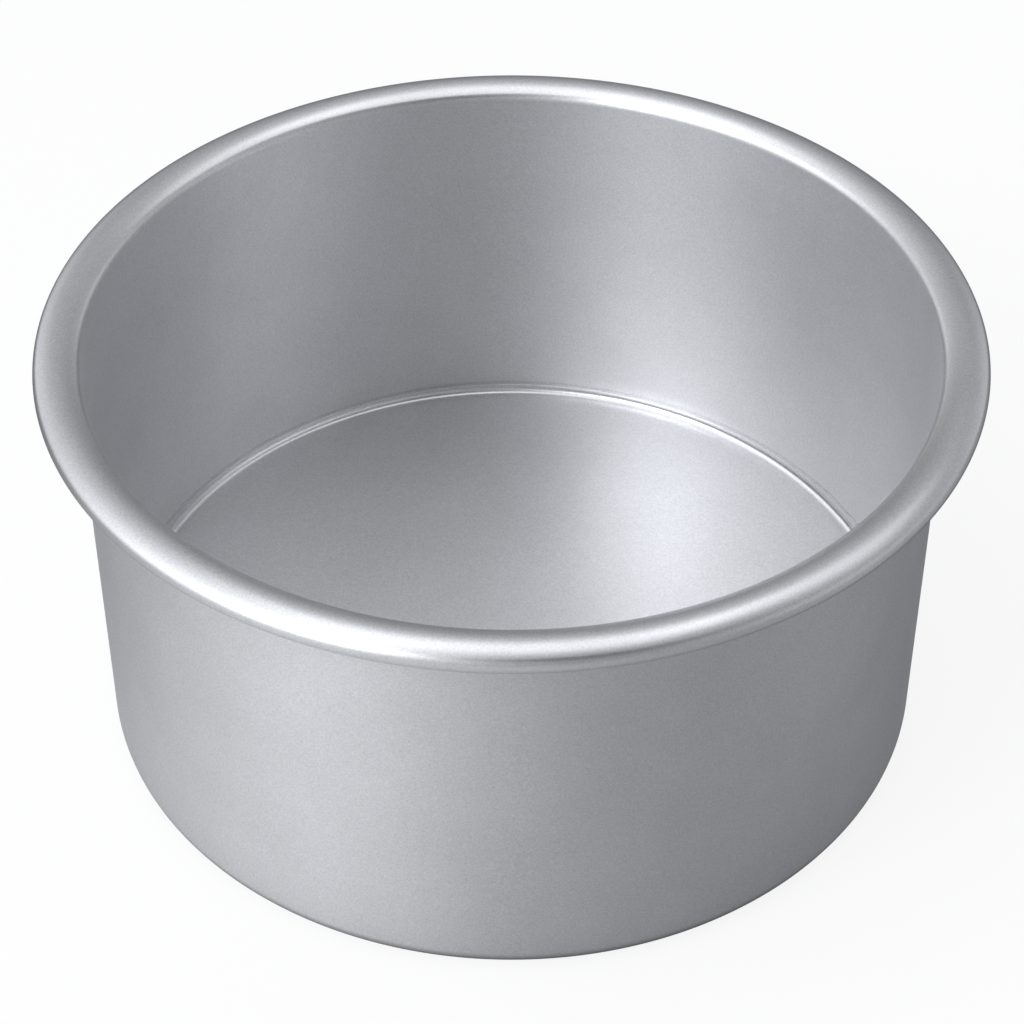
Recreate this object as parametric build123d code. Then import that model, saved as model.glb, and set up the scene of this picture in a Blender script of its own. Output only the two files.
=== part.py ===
from build123d import *
import math
import os

# Round cake tin with a loose base, in millimetres.
# The Z axis is the tin's own axis, and Z = 0 is the surface that it stands on.
# Both pieces are turned shapes, so each is drawn as a section, with the radius across and the height up.

# The tin as a whole
inside_radius = 76.2          # a six inch tin, measured inside the wall
overall_height = 83.2
body_sheet = 1.0              # thickness of the sheet that the wall, rim and foot are made of

# The rolled rim, an oval hollow curl outside the wall
rim_width = 8.2               # from the inside of the wall to the outermost edge
rim_height = 5.2
rim_end_share = 0.75          # radius of the oval's two ends, as a share of half its height

# The rolled foot, a hollow curl inside the wall that the base lies on
foot_height = 7.2
foot_corner_radius = 4.0      # outside radius between the wall and the resting land
foot_land = 2.0               # width of the flat ring that touches the table

raw_edge_gap = 0.4            # slit between the sheet's cut edge and the wall, at both curls

# The loose base, a disc with a small upturned edge
base_sheet = 1.0
base_clearance = 0.1          # between the base's edge and the wall, all the way round
base_turn_radius = 1.5        # inside radius between the floor and its upturned edge
base_edge_straight = 0.1      # straight part of the upturned edge, between its turn and its rounded corner
base_edge_round = 0.1         # the edge is cut square, and its inner corner is filed round


def foot_path():
    """Middle line of the foot, from its cut edge on top, round the curl, to the bottom of the wall."""
    half_sheet = body_sheet / 2
    curl_radius = foot_height / 2
    corner_centre_r = inside_radius + body_sheet - foot_corner_radius
    curl_centre_r = corner_centre_r - foot_land
    cut_edge_r = inside_radius - raw_edge_gap - half_sheet

    seat = Line((cut_edge_r, foot_height - half_sheet), (curl_centre_r, foot_height - half_sheet))
    curl = CenterArc((curl_centre_r, curl_radius), curl_radius - half_sheet, 90, 180)
    land = Line((curl_centre_r, half_sheet), (corner_centre_r, half_sheet))
    corner = CenterArc((corner_centre_r, foot_corner_radius), foot_corner_radius - half_sheet, -90, 90)
    return seat + curl + land + corner


def rim_path():
    """Middle line of the rim, from the top of the wall, over the oval, to the cut edge below it."""
    half_sheet = body_sheet / 2
    half_width = rim_width / 2
    half_height = rim_height / 2
    centre_r = inside_radius + half_width
    centre_z = overall_height - half_height

    # The oval has a small arc at each end and a large one above and below, all tangent
    end_radius = rim_end_share * half_height
    end_offset = half_width - end_radius
    crown_radius = (end_offset**2 + half_height**2 - end_radius**2) / (2 * (half_height - end_radius))
    crown_offset = crown_radius - half_height
    join_angle = math.degrees(math.atan2(crown_offset, end_offset))
    end_line = end_radius - half_sheet
    crown_line = crown_radius - half_sheet

    # The sheet stops under the oval, short of the wall's outer face
    cut_edge_r = inside_radius + body_sheet + raw_edge_gap + half_sheet
    cut_angle = math.degrees(math.acos((cut_edge_r - centre_r) / crown_line))

    inner_end = CenterArc((centre_r - end_offset, centre_z), end_line, 180, -join_angle)
    crown = CenterArc((centre_r, centre_z - crown_offset), crown_line, 180 - join_angle, 2 * join_angle - 180)
    outer_end = CenterArc((centre_r + end_offset, centre_z), end_line, join_angle, -2 * join_angle)
    underside = CenterArc((centre_r, centre_z + crown_offset), crown_line, -join_angle, join_angle - cut_angle)
    return inner_end + crown + outer_end + underside


def tin_body():
    """One sheet: foot, wall and rim, as thick as the sheet on both sides of its middle line."""
    wall_r = inside_radius + body_sheet / 2
    wall = Line((wall_r, foot_corner_radius), (wall_r, overall_height - rim_height / 2))
    path = foot_path() + wall + rim_path()
    section = make_face(offset(path, body_sheet / 2, side=Side.BOTH))
    return revolve(Plane.XZ * section, Axis.Z)


def loose_base():
    """A disc lying on the foot, its edge turned up beside the wall and cut off square."""
    under_z = foot_height
    floor_z = under_z + base_sheet
    outer_r = inside_radius - base_clearance
    inner_r = outer_r - base_sheet
    turn_centre = (inner_r - base_turn_radius, floor_z + base_turn_radius)
    turn_outer_radius = base_turn_radius + base_sheet
    round_z = turn_centre[1] + base_edge_straight
    edge_top_z = round_z + base_edge_round

    underside = Line((0, under_z), (turn_centre[0], under_z))
    outer_turn = CenterArc(turn_centre, turn_outer_radius, -90, 90)
    outer_edge = Line((outer_r, turn_centre[1]), (outer_r, edge_top_z))
    edge_top = Line((outer_r, edge_top_z), (inner_r + base_edge_round, edge_top_z))
    inner_round = CenterArc((inner_r + base_edge_round, round_z), base_edge_round, 90, 90)
    inner_edge = Line((inner_r, round_z), (inner_r, turn_centre[1]))
    inner_turn = CenterArc(turn_centre, base_turn_radius, 0, -90)
    floor = Line((turn_centre[0], floor_z), (0, floor_z))
    centre = Line((0, floor_z), (0, under_z))
    edge = outer_turn + outer_edge + edge_top + inner_round + inner_edge + inner_turn
    return revolve(Plane.XZ * make_face(underside + edge + floor + centre), Axis.Z)


pieces = {
    "tin_body": tin_body(),
    "loose_base": loose_base(),
}

os.makedirs("parts", exist_ok=True)
for name, piece in pieces.items():
    export_step(piece, f"parts/{name}.step")
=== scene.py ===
import math

import bmesh
import bpy
from mathutils import Matrix, Vector


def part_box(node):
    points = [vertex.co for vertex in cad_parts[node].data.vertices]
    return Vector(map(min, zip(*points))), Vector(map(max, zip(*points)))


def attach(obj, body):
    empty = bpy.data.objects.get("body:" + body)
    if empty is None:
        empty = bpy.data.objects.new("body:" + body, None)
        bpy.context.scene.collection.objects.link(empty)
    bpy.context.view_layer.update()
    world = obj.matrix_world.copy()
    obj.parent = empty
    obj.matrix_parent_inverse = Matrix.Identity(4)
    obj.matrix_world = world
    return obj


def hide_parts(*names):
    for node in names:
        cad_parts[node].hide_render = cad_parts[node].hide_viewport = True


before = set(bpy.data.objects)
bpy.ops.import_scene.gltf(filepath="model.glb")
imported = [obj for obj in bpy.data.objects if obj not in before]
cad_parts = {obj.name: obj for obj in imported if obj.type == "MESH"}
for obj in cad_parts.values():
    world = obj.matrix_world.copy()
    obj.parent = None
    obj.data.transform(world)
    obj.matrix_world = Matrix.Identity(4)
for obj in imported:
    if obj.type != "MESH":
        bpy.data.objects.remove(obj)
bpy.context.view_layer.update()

# The viewpoint: a long lens looks down at the standing tin from the front, level from side to side.
# Its place was worked out from the outlines of the rim, the wall and the bottom.
MM = 0.001
picture_side = 1024           # pixels
picture_focal_length = 2750   # pixels
picture_axis_x = 511.5        # the tin's axis stands half a pixel left of the middle
sensor_width = 36.0           # in millimetres, as Blender wants it
camera_back = 388.0 * MM
camera_height = 378.9 * MM
camera_pitch = math.radians(41.2)
camera_clip_start = 10 * MM

camera_data = bpy.data.cameras.new("camera")
camera_data.sensor_width = sensor_width
camera_data.lens = picture_focal_length / picture_side * sensor_width
camera_data.shift_x = (picture_side / 2 - picture_axis_x) / picture_side
camera_data.clip_start = camera_clip_start
camera = bpy.data.objects.new("camera", camera_data)
camera.location = (0, -camera_back, camera_height)
camera.rotation_euler = (math.radians(90) - camera_pitch, 0, 0)
bpy.context.collection.objects.link(camera)
bpy.context.scene.camera = camera
bpy.context.scene.view_settings.view_transform = "Standard"


# The tin body: one sheet of aluminium, spun into a straight wall, its top edge rolled outward over
# an oval hollow and its bottom edge rolled inward into the foot that the base lies on. The sizes
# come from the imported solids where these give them.
body_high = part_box("tin_body")[1]
rim_outer_radius = body_high[0]
overall_height = body_high[2]
base_low, base_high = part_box("loose_base")
foot_height = base_low[2]

sheet = 1.0 * MM
rim_width = 8.2 * MM
rim_height = 5.2 * MM
rim_end_share = 0.75          # radius of the oval's two ends, as a share of half its height
foot_corner_radius = 4.0 * MM
foot_land = 2.0 * MM          # width of the flat ring that stands on the table
cut_edge_gap = 0.4 * MM       # with half the sheet added, the slit beside the wall at both cut edges
cut_edge_round = 0.3 * MM
cut_edge_steps = 3

turns = 320                   # steps in a full turn about the tin's axis
arc_step = math.radians(7.5)  # of a bend in the section
fewest_steps = 2              # in a bend
edge_ring = 0.3 * MM          # an extra ring this far from a bend keeps the shading of straight parts even
same_place = 0.01 * MM        # points closer than this are one point
sharp_corner = math.radians(60)


def start_section(at):
    """A new mesh with one point of the section in it, in radius and height."""
    mesh = bmesh.new()
    point = mesh.verts.new((at[0], 0, at[1]))
    return mesh, point


def straight(mesh, point, to):
    """Draws the section on in a straight line."""
    drawn = bmesh.ops.extrude_vert_indiv(mesh, verts=[point])
    point = drawn["verts"][0]
    point.co = Vector((to[0], 0, to[1]))
    return point


def bend(mesh, point, centre, degrees):
    """Draws the section on round a centre, anticlockwise as seen from the front."""
    angle = math.radians(degrees)
    steps = max(fewest_steps, round(abs(angle) / arc_step))
    drawn = bmesh.ops.spin(
        mesh, geom=[point], cent=(centre[0], 0, centre[1]), axis=(0, -1, 0), angle=angle, steps=steps
    )
    return [v for v in drawn["geom_last"] if isinstance(v, bmesh.types.BMVert)][0]


def turn_section(mesh, name):
    """Turns the section about the tin's axis, smooth but for its sharp corners."""
    bmesh.ops.spin(
        mesh, geom=mesh.verts[:] + mesh.edges[:], cent=(0, 0, 0), axis=(0, 0, 1),
        angle=math.radians(360), steps=turns, use_merge=True
    )
    bmesh.ops.remove_doubles(mesh, verts=mesh.verts[:], dist=same_place)
    bmesh.ops.recalc_face_normals(mesh, faces=mesh.faces[:])
    for face in mesh.faces:
        face.smooth = True
    for edge in mesh.edges:
        edge.smooth = edge.calc_face_angle(0) < sharp_corner
    data = bpy.data.meshes.new(name)
    mesh.to_mesh(data)
    mesh.free()
    piece = bpy.data.objects.new(name, data)
    bpy.context.collection.objects.link(piece)
    return piece


# The section is the sheet's middle line, and each corner is a pair of radius and height
half_sheet = sheet / 2
inside_radius = rim_outer_radius - rim_width
wall_radius = inside_radius + half_sheet
seat_height = foot_height - half_sheet
corner_centre = (inside_radius + sheet - foot_corner_radius, foot_corner_radius)
curl_centre = (corner_centre[0] - foot_land, foot_height / 2)

# The rim's oval has a small arc at each end and a large one above and below, all tangent
rim_half_width = rim_width / 2
rim_half_height = rim_height / 2
rim_centre = (inside_radius + rim_half_width, overall_height - rim_half_height)
end_radius = rim_end_share * rim_half_height
end_offset = rim_half_width - end_radius
crown_radius = (end_offset**2 + rim_half_height**2 - end_radius**2) / (2 * (rim_half_height - end_radius))
crown_offset = crown_radius - rim_half_height
join_angle = math.degrees(math.atan2(crown_offset, end_offset))
rim_edge_radius = inside_radius + sheet + cut_edge_gap + half_sheet
rim_edge_angle = math.degrees(math.acos((rim_edge_radius - rim_centre[0]) / (crown_radius - half_sheet)))

section, tip = start_section((inside_radius - cut_edge_gap - half_sheet, seat_height))
tip = straight(section, tip, (curl_centre[0], seat_height))
tip = bend(section, tip, curl_centre, 180)
tip = straight(section, tip, (corner_centre[0], half_sheet))
tip = bend(section, tip, corner_centre, 90)
tip = straight(section, tip, (wall_radius, foot_corner_radius + edge_ring))
tip = straight(section, tip, (wall_radius, rim_centre[1] - edge_ring))
tip = straight(section, tip, (wall_radius, rim_centre[1]))
tip = bend(section, tip, (rim_centre[0] - end_offset, rim_centre[1]), -join_angle)
tip = bend(section, tip, (rim_centre[0], rim_centre[1] - crown_offset), 2 * join_angle - 180)
tip = bend(section, tip, (rim_centre[0] + end_offset, rim_centre[1]), -2 * join_angle)
tip = bend(section, tip, (rim_centre[0], rim_centre[1] + crown_offset), join_angle - rim_edge_angle)
tin_shell = turn_section(section, "tin_shell")

thickness = tin_shell.modifiers.new("sheet", "SOLIDIFY")
thickness.thickness = sheet
thickness.offset = 0
thickness.use_even_offset = True
deburring = tin_shell.modifiers.new("deburred edge", "BEVEL")
deburring.width = cut_edge_round
deburring.segments = cut_edge_steps
deburring.harden_normals = True
deburring.limit_method = "ANGLE"
deburring.angle_limit = sharp_corner


def linear(hex_colour):
    """An sRGB colour such as #A0A0A0 as the linear values that a shader takes."""
    channels = [int(hex_colour[i:i + 2], 16) / 255 for i in (1, 3, 5)]
    return [c / 12.92 if c <= 0.04045 else ((c + 0.055) / 1.055)**2.4 for c in channels] + [1]


def add_node(tree, kind, inputs=None, **settings):
    """Adds a node, sets its settings, and sets or links its inputs."""
    node = tree.nodes.new(kind)
    for setting, value in settings.items():
        setattr(node, setting, value)
    for socket, value in (inputs or {}).items():
        if isinstance(value, bpy.types.NodeSocket):
            tree.links.new(value, node.inputs[socket])
        else:
            node.inputs[socket].default_value = value
    return node


# Satin anodised aluminium: the sheet is etched before it is anodised, which leaves a fine grit and
# faint clouds. Where the sheet was turned and brushed on a lathe its grain runs round the axis, and
# highlights stretch across it. Tools rub the tight bends smoother than the rest.
metal_colours = ("#BFBFC0", "#F6F6F8")   # the grit's darkest and lightest specks
metal_roughness = 0.46
bend_roughness = 0.29
bend_blend = 1.5 * MM         # the width over which one goes into the other
roughness_spread = (0.94, 1.06)   # from speck to speck, as a share of the roughness
grit_size = 0.35 * MM         # the real grit is finer; it is drawn as coarse as it needs to show
grit_detail = 2.0
grit_strength = 0.1           # of the grit's relief
grit_depth = 0.01 * MM
cloud_size = 14 * MM          # the etch leaves slow, faint changes of tone
cloud_detail = 3.0
cloud_share = 0.2             # of the changes of tone, the rest comes from the grit
grain_quarter_turn = 0.25     # the highlight's long side lies across the grain


def satin_aluminium(name, grain_pull, height_share, bend_starts):
    """The sheet's finish. It is smoother where the radius plus a share of the height passes bend_starts."""
    material = bpy.data.materials.new(name)
    material.use_nodes = True
    tree = material.node_tree
    tree.nodes.clear()
    place = add_node(tree, "ShaderNodeTexCoord").outputs["Object"]
    grit = add_node(
        tree, "ShaderNodeTexNoise",
        {"Vector": place, "Scale": 1 / grit_size, "Detail": grit_detail}
    ).outputs["Fac"]
    clouds = add_node(
        tree, "ShaderNodeTexNoise",
        {"Vector": place, "Scale": 1 / cloud_size, "Detail": cloud_detail}
    ).outputs["Fac"]
    specks = add_node(
        tree, "ShaderNodeMix",
        {"Factor": cloud_share, "A": grit, "B": clouds},
        data_type="FLOAT"
    ).outputs["Result"]
    tone = add_node(
        tree, "ShaderNodeMix",
        {"Factor": specks, "A": linear(metal_colours[0]), "B": linear(metal_colours[1])},
        data_type="RGBA"
    ).outputs["Result"]

    height = add_node(tree, "ShaderNodeSeparateXYZ", {"Vector": place}).outputs["Z"]
    flat = add_node(
        tree, "ShaderNodeVectorMath",
        {0: place, 1: (1, 1, 0)},
        operation="MULTIPLY"
    ).outputs["Vector"]
    radius = add_node(tree, "ShaderNodeVectorMath", {0: flat}, operation="LENGTH").outputs["Value"]
    across = add_node(
        tree, "ShaderNodeMath",
        {0: height, 1: height_share, 2: radius},
        operation="MULTIPLY_ADD"
    ).outputs["Value"]
    top_bend = add_node(
        tree, "ShaderNodeMapRange",
        {
            "Value": across, "From Min": bend_starts, "From Max": bend_starts + bend_blend,
            "To Min": metal_roughness, "To Max": bend_roughness,
        }
    ).outputs["Result"]
    foot_bend = add_node(
        tree, "ShaderNodeMapRange",
        {
            "Value": height, "From Min": foot_corner_radius / 2, "From Max": foot_corner_radius,
            "To Min": bend_roughness, "To Max": metal_roughness,
        }
    ).outputs["Result"]
    smoothest = add_node(
        tree, "ShaderNodeMath",
        {0: top_bend, 1: foot_bend},
        operation="MINIMUM"
    ).outputs["Value"]
    spread = add_node(
        tree, "ShaderNodeMapRange",
        {"Value": grit, "To Min": roughness_spread[0], "To Max": roughness_spread[1]}
    ).outputs["Result"]
    roughness = add_node(
        tree, "ShaderNodeMath",
        {0: smoothest, 1: spread},
        operation="MULTIPLY"
    ).outputs["Value"]

    relief = add_node(
        tree, "ShaderNodeBump",
        {"Height": grit, "Strength": grit_strength, "Distance": grit_depth}
    ).outputs["Normal"]
    round_the_axis = add_node(tree, "ShaderNodeTangent", direction_type="RADIAL", axis="Z")
    surface = add_node(
        tree, "ShaderNodeBsdfPrincipled",
        {
            "Base Color": tone,
            "Metallic": 1.0,
            "Roughness": roughness,
            "Normal": relief,
            "Anisotropic": grain_pull,
            "Anisotropic Rotation": grain_quarter_turn,
            "Tangent": round_the_axis.outputs["Tangent"],
        }
    )
    add_node(tree, "ShaderNodeOutputMaterial", {"Surface": surface.outputs["BSDF"]})
    return material


# The wall is turned, so it has the grain, and its smoother part starts where it bends into the rim
wall_grain_pull = 0.7
wall_height_share = 1.0
body_metal = satin_aluminium(
    "satin anodised aluminium, body", wall_grain_pull, wall_height_share, inside_radius + rim_centre[1]
)
tin_shell.data.materials.append(body_metal)
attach(tin_shell, "tin")
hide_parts("tin_body")


# The loose base: a disc pressed from the same sheet, with its edge turned up beside the wall so
# that it lifts out straight. It lies on the foot and nothing fastens it.
base_turn_radius = 1.5 * MM
base_edge_round = 0.1 * MM    # the cut's inner corner; its outer one is left as the shears cut it
base_gap = 0.02 * MM          # drawn this close to the wall, because the photo shows no dark line there

base_radius = inside_radius - base_gap
floor_height = foot_height + sheet
edge_top = base_high[2]
edge_inside = base_radius - sheet
turn_centre = (edge_inside - base_turn_radius, floor_height + base_turn_radius)
round_centre = (edge_inside + base_edge_round, edge_top - base_edge_round)

section, tip = start_section((0, foot_height))
tip = straight(section, tip, (turn_centre[0] - edge_ring, foot_height))
tip = straight(section, tip, (turn_centre[0], foot_height))
tip = bend(section, tip, turn_centre, 90)
tip = straight(section, tip, (base_radius, edge_top))
tip = straight(section, tip, (round_centre[0], edge_top))
tip = bend(section, tip, round_centre, 90)
tip = straight(section, tip, (edge_inside, turn_centre[1]))
tip = bend(section, tip, turn_centre, -90)
tip = straight(section, tip, (turn_centre[0] - edge_ring, floor_height))
tip = straight(section, tip, (0, floor_height))
base_disc = turn_section(section, "base_disc")

# The disc is pressed and not turned, so it has no grain, and only its bent edge is smoother
base_grain_pull = 0.0
base_height_share = 0.0
base_metal = satin_aluminium(
    "satin anodised aluminium, base", base_grain_pull, base_height_share, turn_centre[0] - bend_blend
)
base_disc.data.materials.append(base_metal)
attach(base_disc, "base")
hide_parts("loose_base")


# The studio: a wide floor of white paper, which keeps the tin's soft shadow, in a pale room. Large
# soft boxes stand in front on the left, on the left and above the back, and weaker ones on the right.
# The metal sees painted pools of light on the paper, painted shade close to the tin and the tin's painted
# shadow.
floor_size = 4.0
floor_colour = "#F4F4F4"
plain_white = "#FFFFFF"
floor_glow = 0.87             # how much of the floor is drawn as plain white, the rest as lit paper
light_colour = "#F8FAFE"

# Each pool, box and card has an azimuth, an elevation and a brightness, and it fades as a power of
# the cosine: a low power makes it wide, and a high one narrow. One card is dark: it hangs above the
# front and draws the rim's dark band. Two light cards stand low at the back.
paper_glow = 0.12             # what a reflection sees of the paper everywhere
# Painted pools of light on the paper, which only reflections see
painted_light_pools = ((30, 0, 0.61), (75, 0, 0.15), (-75, 0, 0.32))
pool_power = 2.0
room_light = 0.19
room_boxes = (
    (45, 35, 1.28), (90, 35, 0.85), (80, 8, 0.20), (180, 65, 0.42), (-45, 5, 0.22), (-90, 5, 0.36)
)
box_power = 4.0
room_cards = ((0, 52, -0.6), (140, 6, 0.6), (-135, 6, 0.4))
card_power = 14.0

# Each painted shade on the paper has its centre, the two distances between which it fades, and the share of
# the light that it leaves. They paint shade all round the tin and under it, and its shadow on the right and
# back.
painted_shade_centre = (0, 0, 0)
painted_shadow_centre = (80 * MM, 80 * MM, 0)
painted_paper_shades = (
    (painted_shade_centre, 80 * MM, 160 * MM, 0.8),
    (painted_shade_centre, 75 * MM, 83 * MM, 0.2),
    (painted_shadow_centre, 80 * MM, 180 * MM, 0.45),
)

# Each soft lamp has an azimuth, an elevation, the length of its sides in metres and its watts
lamp_distance = 1.0
soft_lamps = {
    "key_light": (45, 36, 0.5, 3.0),
    "back_light": (240, 60, 0.5, 0.5),
    "top_light": (180, 82, 0.7, 1.3),
}

floor_mesh = bmesh.new()
bmesh.ops.create_grid(floor_mesh, x_segments=1, y_segments=1, size=floor_size / 2)
floor_data = bpy.data.meshes.new("floor")
floor_mesh.to_mesh(floor_data)
floor_mesh.free()
floor = bpy.data.objects.new("floor", floor_data)
bpy.context.collection.objects.link(floor)


def direction(azimuth, elevation):
    """A unit vector away from the tin. Azimuth 0 is in front, and 90 on the left."""
    turn, lift = math.radians(azimuth), math.radians(elevation)
    return Vector((-math.sin(turn) * math.cos(lift), -math.cos(turn) * math.cos(lift), math.sin(lift)))


def glow_towards(tree, heading, everywhere, spots, power):
    """A brightness by direction: one level everywhere, and spots that fade as a power of the cosine."""
    glow = everywhere
    for azimuth, elevation, brightness in spots:
        cosine = add_node(
            tree, "ShaderNodeVectorMath",
            {0: heading, 1: direction(azimuth, elevation)},
            operation="DOT_PRODUCT"
        ).outputs["Value"]
        facing = add_node(tree, "ShaderNodeMath", {0: cosine, 1: 0.0}, operation="MAXIMUM").outputs["Value"]
        spot = add_node(tree, "ShaderNodeMath", {0: facing, 1: power}, operation="POWER").outputs["Value"]
        glow = add_node(
            tree, "ShaderNodeMath",
            {0: spot, 1: brightness, 2: glow},
            operation="MULTIPLY_ADD"
        ).outputs["Value"]
    return glow


# Matt white paper, smooth and without shine: the camera sees most of it as plain white, and a share
# of it as lit, which keeps the shadow. Reflections see painted pools of light, painted shade and a painted
# shadow on it instead.
paper = bpy.data.materials.new("matt white studio paper")
paper.use_nodes = True
tree = paper.node_tree
tree.nodes.clear()
place = add_node(tree, "ShaderNodeTexCoord").outputs["Object"]
heading = add_node(tree, "ShaderNodeVectorMath", {0: place}, operation="NORMALIZE").outputs["Vector"]
# the painted pools of light on the paper, for reflections only
glow = glow_towards(tree, heading, paper_glow, painted_light_pools, pool_power)
# painted shade round and under the tin, and the tin's painted shadow, darken what reflections see of the
# paper
for centre, near, far, darkest in painted_paper_shades:
    away = add_node(tree, "ShaderNodeVectorMath", {0: place, 1: centre}, operation="DISTANCE")
    painted_shade_share = add_node(
        tree, "ShaderNodeMapRange",
        {
            "Value": away.outputs["Value"], "From Min": near, "From Max": far,
            "To Min": darkest, "To Max": 1.0,
        },
        interpolation_type="SMOOTHSTEP"
    ).outputs["Result"]
    glow = add_node(tree, "ShaderNodeMath", {0: glow, 1: painted_shade_share}, operation="MULTIPLY").outputs["Value"]

path = add_node(tree, "ShaderNodeLightPath")
looked_at = add_node(
    tree, "ShaderNodeMath",
    {0: path.outputs["Is Camera Ray"], 1: floor_glow},
    operation="MULTIPLY"
).outputs["Value"]
mirrored = add_node(
    tree, "ShaderNodeMath",
    {0: path.outputs["Is Glossy Ray"], 1: path.outputs["Is Transmission Ray"]},
    operation="MAXIMUM"
).outputs["Value"]
lit = add_node(tree, "ShaderNodeBsdfDiffuse", {"Color": linear(floor_colour)}).outputs["BSDF"]
white = add_node(tree, "ShaderNodeEmission", {"Color": linear(plain_white), "Strength": 1.0})
# an emission of the painted pools of light, painted shade and painted shadow, which only reflections see
painted_pools = add_node(tree, "ShaderNodeEmission", {"Color": linear(light_colour), "Strength": glow})
seen = add_node(tree, "ShaderNodeMixShader", {0: looked_at, 1: lit, 2: white.outputs["Emission"]})
both = add_node(
    tree, "ShaderNodeMixShader",
    {0: mirrored, 1: seen.outputs["Shader"], 2: painted_pools.outputs["Emission"]}
)
add_node(tree, "ShaderNodeOutputMaterial", {"Surface": both.outputs["Shader"]})
floor.data.materials.append(paper)

world = bpy.data.worlds.new("pale room")
bpy.context.scene.world = world
world.use_nodes = True
tree = world.node_tree
tree.nodes.clear()
heading = add_node(tree, "ShaderNodeTexCoord").outputs["Generated"]
boxes = glow_towards(tree, heading, room_light, room_boxes, box_power)
lights = glow_towards(tree, heading, boxes, room_cards, card_power)
room = add_node(tree, "ShaderNodeBackground", {"Color": linear(light_colour), "Strength": lights})
backdrop = add_node(tree, "ShaderNodeBackground", {"Color": linear(plain_white), "Strength": 1.0})
path = add_node(tree, "ShaderNodeLightPath")
seen = add_node(
    tree, "ShaderNodeMixShader",
    {0: path.outputs["Is Camera Ray"], 1: room.outputs["Background"], 2: backdrop.outputs["Background"]}
).outputs["Shader"]
add_node(tree, "ShaderNodeOutputWorld", {"Surface": seen})

lamp_target = Vector((0, 0, overall_height / 2))
for name, (azimuth, elevation, side, watts) in soft_lamps.items():
    lamp = bpy.data.lights.new(name, "AREA")
    lamp.shape = "SQUARE"
    lamp.size = side
    lamp.energy = watts
    lamp.color = linear(light_colour)[:3]
    light = bpy.data.objects.new(name, lamp)
    bpy.context.collection.objects.link(light)
    aim = direction(azimuth, elevation)
    turned = aim.to_track_quat("Z", "Y").to_matrix().to_4x4()
    light.matrix_world = Matrix.Translation(lamp_target + aim * lamp_distance) @ turned
